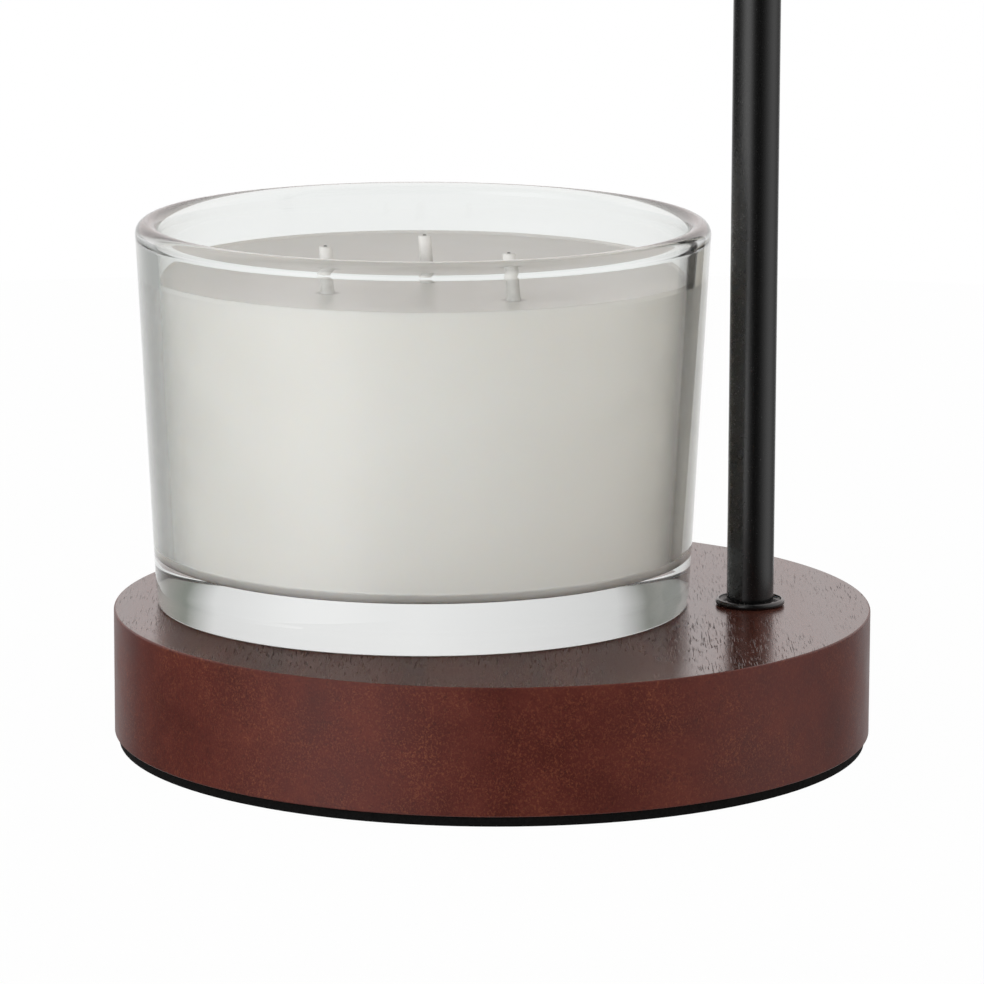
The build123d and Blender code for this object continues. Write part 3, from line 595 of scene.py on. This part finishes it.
def make_wax():
    """Wax that has shrunk a hair off the wall but holds to the floor, with a creep at its rim."""
    mesh = bmesh.new()
    corner = JAR_FLOOR + JAR_INNER_ROUND
    parting = corner + WAX_PARTING
    edge = inner_radius(WAX_HIGH) - WAX_GAP
    surface = WAX_HIGH - WAX_CREEP * 0.2
    profile = [(0, JAR_FLOOR - WAX_BITE),
               *arc((inner_radius(corner) - JAR_INNER_ROUND, corner),
                    JAR_INNER_ROUND + WAX_BITE, -90, 0, 12),
               (inner_radius(parting) - WAX_GAP, parting),
               (edge, surface + WAX_CREEP * 0.8),
               *arc((edge - WAX_CREEP_ROUND, surface + WAX_CREEP_ROUND), WAX_CREEP_ROUND,
                    -25, -90, 8),
               *((share * edge, surface - WAX_DIP) for share in (0.5, 0.2, 0))]
    lathe(mesh, profile, JAR.x, JAR.y, 256)
    finished("wax_fill", mesh, "candle", [WAX], ["candle_wax"])


def make_wicks():
    """Waxed wicks, cut straight, with a small near-black disc in the cut that is painted shade for
    the wick's hollow.
    """
    mesh = bmesh.new()
    low = WAX_HIGH - WICK_ROOT
    high = WAX_HIGH + WICK_HEIGHT
    stem_low = low + WICK_STEM_LOW
    stem_high = high - WICK_STEM_HIGH
    swell, quickness = WICK_SWELL
    tip = [(WICK_HOLLOW_RADIUS * share, high + rise * MM) for share, rise in WICK_TIP]
    for place, (x, y) in enumerate(WICK_PLACES):
        profile = [(WICK_RADIUS * share, low + rise * MM) for share, rise in WICK_COLLAR]
        for step in range(WICK_STEPS):
            z = stem_low + (stem_high - stem_low) * step / (WICK_STEPS - 1)
            uneven = swell * noise.noise(Vector((place * 7.0, 0.0, z * quickness)))
            profile.append((WICK_RADIUS * (0.97 + uneven), z))
        profile += arc((WICK_RADIUS * 0.95 - WICK_ROUND, high - WICK_ROUND), WICK_ROUND, 20, 90, 5)
        profile += [(WICK_HOLLOW_RADIUS * 1.2, high), tip[0]]
        centre = (JAR.x + x * MM, JAR.y + y * MM)
        rings = lathe(mesh, profile, *centre, 40) + lathe(mesh, tip, *centre, 40, 1)
        for vertex in (vertex for ring in rings for vertex in ring):
            share = max(0.0, (vertex.co.z - WAX_HIGH) / WICK_HEIGHT)
            vertex.co.x -= WICK_LEAN * share
    bmesh.ops.remove_doubles(mesh, verts=mesh.verts, dist=1e-7)
    finished("wax_wicks", mesh, "candle", [WICK, WICK_HOLLOW_SHADE], ["candle_wicks"])


# ------------------------------------------------------------------ base


def inlet_hole():
    """Seat and barrel hole of the mains inlet, along the depth."""
    low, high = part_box("cord_gland")
    flange = half_width("cord_gland") + INLET_FIT
    barrel = INLET_BARREL + INLET_FIT
    seat = high.y - INLET_FLANGE
    past = high.y + CUT_PAST
    hole = bmesh.new()
    profile = [(0, low.y), (barrel, low.y), (barrel, seat), (flange, seat), (flange, past),
               (0, past)]
    lathe(hole, profile, 0, 0, 96)
    axis = Matrix.Translation(((low.x + high.x) / 2, 0, (low.z + high.z) / 2))
    bmesh.ops.transform(hole, matrix=axis @ Matrix.Rotation(-math.pi / 2, 4, "X"),
                        verts=hole.verts)
    return hole


def make_base():
    """Wooden disc with a small round at its upper edge, a chamfer below and the inlet's seat."""
    mesh = bmesh.new()
    profile = [(0, BASE_LOW),
               (BASE_RADIUS - EDGE_ROUND / 2, BASE_LOW),
               (BASE_RADIUS, BASE_LOW + EDGE_ROUND / 2),
               *arc((BASE_RADIUS - EDGE_ROUND, BASE_HIGH - EDGE_ROUND), EDGE_ROUND, 0, 90, 8),
               (0, BASE_HIGH)]
    lathe(mesh, profile, 0, 0, 512)
    mesh = cut(mesh, inlet_hole())
    mesh.normal_update()
    for face in mesh.faces:
        face.material_index = 1 if face.normal.z > FACES_UP else 0
    finished("wooden_base", mesh, "base", [EDGE, VENEER], ["base_disc"])


# ------------------------------------------------------------------ carried-over nodes

FINISHES = {
    "pad_foam": FOAM,
    "steel": STEEL,
    "black_coat": POWDER,
    "black_plastic": MOULDING,
    "nylon": NYLON,
    "lead_sheath": SHEATH,
    "brass": BRASS,
    "ceramic": CERAMIC,
    "reflector": MIRROR,
    "clear_glass": LAMP_GLASS,
    "wax": WAX,
    "wood": EDGE,
}
ENAMELLED = ("shade", "shade_crown")


def dress_nodes():
    slots = {part["node"]: part["material_slot"] for part in frame["record"]["subparts"]}
    for name, node in nodes.items():
        node.data.materials.clear()
        node.data.materials.append(SHADE_COAT if name in ENAMELLED else FINISHES[slots[name]])


# ------------------------------------------------------------------ studio

# The rings give levels or colours by compass direction, in degrees from the front.
# The studio as gloss sees it: two strips of light, a dark front and a pale back.
MIRROR_RING = ((-180, 0.95), (-156, 0.85), (-140, 0.14), (-112, 0.08), (-92, 0.20), (-74, 0.55),
               (-60, 1.25), (-44, 1.5), (-30, 1.15), (-20, 0.45), (-8, 0.07), (10, 0.02),
               (25, 0.04), (42, 0.2), (62, 0.6), (82, 0.9), (100, 0.75), (122, 0.25),
               (140, 0.14), (156, 0.85), (180, 0.95))
MIRROR_POWER = 2.0                # the ramp holds the levels divided by this
# The backdrop as gloss sees it above the horizon.
BACKDROP = (1.14, 1.06, 1.05)
# The studio as glass mirrors it within, below and above the horizon: grey round the front, warm
# on the right.
COOL = (0.44, 0.45, 0.435)
WARM = (0.42, 0.395, 0.345)
GLASS_LOW = ((-180, 0.50), (-170, COOL), (-140, COOL), (-90, (0.50, 0.50, 0.48)), (-30, 0.55),
             (30, 0.50), (90, (0.46, 0.44, 0.40)), (138, WARM), (143, (0.47, 0.45, 0.40)),
             (148, WARM), (153, (0.46, 0.44, 0.39)), (157, WARM), (164, (0.50, 0.48, 0.43)),
             (172, (0.60, 0.59, 0.56)), (180, 0.60))
GLASS_HIGH = ((-180, 0.86), (-160, 0.74), (-145, 0.66), (-134, (0.22, 0.23, 0.21)),
              (-110, (0.40, 0.41, 0.39)), (0, 0.50), (110, (0.42, 0.41, 0.38)),
              (129, (0.24, 0.26, 0.23)), (142, 0.76), (160, 0.83), (180, 0.86))
# What glass mirrors steeply below it.
GLASS_STEEP = (0.80, 0.80, 0.79)
# The backdrop as it is seen straight through glass.
THROUGH = (0.90, 0.91, 0.905)
# The studio as lit surfaces see it, from behind on the right to the front left, and from above.
LIGHT = ((0.0, (0.25, 0.225, 0.195)), (0.45, (0.31, 0.28, 0.24)), (0.65, (0.55, 0.535, 0.51)),
         (1.0, 1.0))
LIGHT_FROM = Vector((-0.55, -0.80, 0.28)).normalized()
LIGHT_POWER = 1.70
TOP_LIGHT = (0.27, 0.27, 0.26)
# Where one part of the studio passes into the next, as heights or depths of a unit direction.
TOP_BAND = (0.35, 0.85)
BACKDROP_HEIGHT = (0.0, 0.12)
BACKDROP_DEPTH = (-0.1, 0.3)
STEEP_BAND = (-0.7, -0.45)
HORIZON_BAND = (-0.05, 0.05)


def studio_ring(tree, direction, stops, power, blend):
    """Light by compass direction, from (degrees from the front, level or colour) stops."""
    x, y, _ = tree.split(direction)
    turn = tree.math("ARCTAN2", x, tree.math("MULTIPLY", y, -1.0))
    scaled = [((degrees + 180.0) / 360.0, tuple(channel / power for channel in colour_of(level)))
              for degrees, level in stops]
    ring = tree.ramp(tree.span(turn, -math.pi, math.pi), scaled, blend)
    return tree.vector_math("SCALE", ring, power)


def make_world():
    """A studio that lit surfaces, gloss, glass and the camera each see in their own way."""
    world = bpy.data.worlds.new("studio")
    bpy.context.scene.world = world
    world.use_nodes = True
    tree = Tree(world.node_tree)
    direction = tree.add("ShaderNodeTexCoord").outputs["Generated"]
    depth, height = tree.split(direction)[1:]
    path, seen = tree.seen_directly()

    def band(value, limits):
        return tree.span(value, *limits, "SMOOTHSTEP")

    toward = tree.span(tree.vector_math("DOT_PRODUCT", direction, LIGHT_FROM), -1.0, 1.0)
    lit = tree.vector_math("SCALE", tree.ramp(toward, LIGHT), LIGHT_POWER)
    lit = tree.mix(band(height, TOP_BAND), lit, TOP_LIGHT)

    mirrored = studio_ring(tree, direction, MIRROR_RING, MIRROR_POWER, "B_SPLINE")
    behind = tree.math("MULTIPLY", band(height, BACKDROP_HEIGHT), band(depth, BACKDROP_DEPTH))
    gloss = tree.mix(behind, mirrored, BACKDROP)

    low = studio_ring(tree, direction, GLASS_LOW, 1.0, "LINEAR")
    high = studio_ring(tree, direction, GLASS_HIGH, 1.0, "LINEAR")
    glass = tree.mix(band(height, STEEP_BAND), GLASS_STEEP, low)
    glass = tree.mix(band(height, HORIZON_BAND), glass, high)
    within = tree.math("GREATER_THAN", path["Glossy Depth"], 0.5)
    glass = tree.mix(within, THROUGH, glass)

    shown = tree.mix(path["Is Transmission Ray"], gloss, glass)
    shown = tree.mix(path["Is Camera Ray"], shown, (1.0, 1.0, 1.0))
    tree.link(tree.mix(seen, lit, shown), world.node_tree.nodes["Background"].inputs["Color"])


def floor_material():
    """Pale to the camera, where it keeps the shadow, and clear to gloss and glass."""
    s = Shader("floor_white")
    s.set(Base_Color=(0.90, 0.90, 0.90, 1.0), Roughness=1.0, Specular_IOR_Level=0.0)
    path, seen = s.seen_directly()
    glow = s.add("ShaderNodeEmission")
    glow.inputs["Color"].default_value = (1.0, 1.0, 1.0, 1.0)
    pale = s.mix_shaders(s.math("MULTIPLY", seen, FLOOR_GLOW), s.bsdf.outputs[0], glow.outputs[0])
    not_camera = s.math("SUBTRACT", 1.0, path["Is Camera Ray"])
    clear = s.add("ShaderNodeBsdfTransparent")
    surface = s.mix_shaders(s.math("MULTIPLY", seen, not_camera), pale, clear.outputs[0])
    s.link(surface, s.tree.nodes["Material Output"].inputs["Surface"])
    return s.material


def make_floor():
    """A disc that takes the shadow."""
    mesh = bmesh.new()
    angles = (2 * math.pi * step / 96 for step in range(96))
    mesh.faces.new([mesh.verts.new((FLOOR_RADIUS * math.cos(a), FLOOR_RADIUS * math.sin(a), 0))
                    for a in angles])
    data = bpy.data.meshes.new("floor")
    mesh.to_mesh(data)
    mesh.free()
    data.materials.append(floor_material())
    floor = bpy.data.objects.new("floor", data)
    bpy.context.scene.collection.objects.link(floor)


def make_camera():
    """A long lens 11 degrees above level, aimed just over the middle of the candle."""
    distance = 1.1348
    elevation = 0.1921
    roll = 0.0034
    aim = Vector((-0.11 * MM, 0.0, 49.31 * MM))
    data = bpy.data.cameras.new("camera")
    data.lens = 209.8
    data.sensor_width = 36.0
    data.clip_end = 20.0
    camera = bpy.data.objects.new("camera", data)
    bpy.context.scene.collection.objects.link(camera)
    camera.location = aim + distance * Vector((0, -math.cos(elevation), math.sin(elevation)))
    turn = Matrix.Rotation(math.pi / 2 - elevation, 3, "X") @ Matrix.Rotation(roll, 3, "Z")
    camera.rotation_euler = turn.to_euler()
    bpy.context.scene.camera = camera


dress_nodes()
make_base()
make_jar()
make_wax()
make_wicks()
make_world()
make_floor()
make_camera()

bpy.context.scene.view_settings.view_transform = "Standard"
cycles = bpy.context.scene.cycles
cycles.max_bounces = 24
cycles.glossy_bounces = 12
cycles.transmission_bounces = 16
cycles.diffuse_bounces = 6
# Light that reaches the wax through the tumbler keeps its strength.
cycles.blur_glossy = 0.0
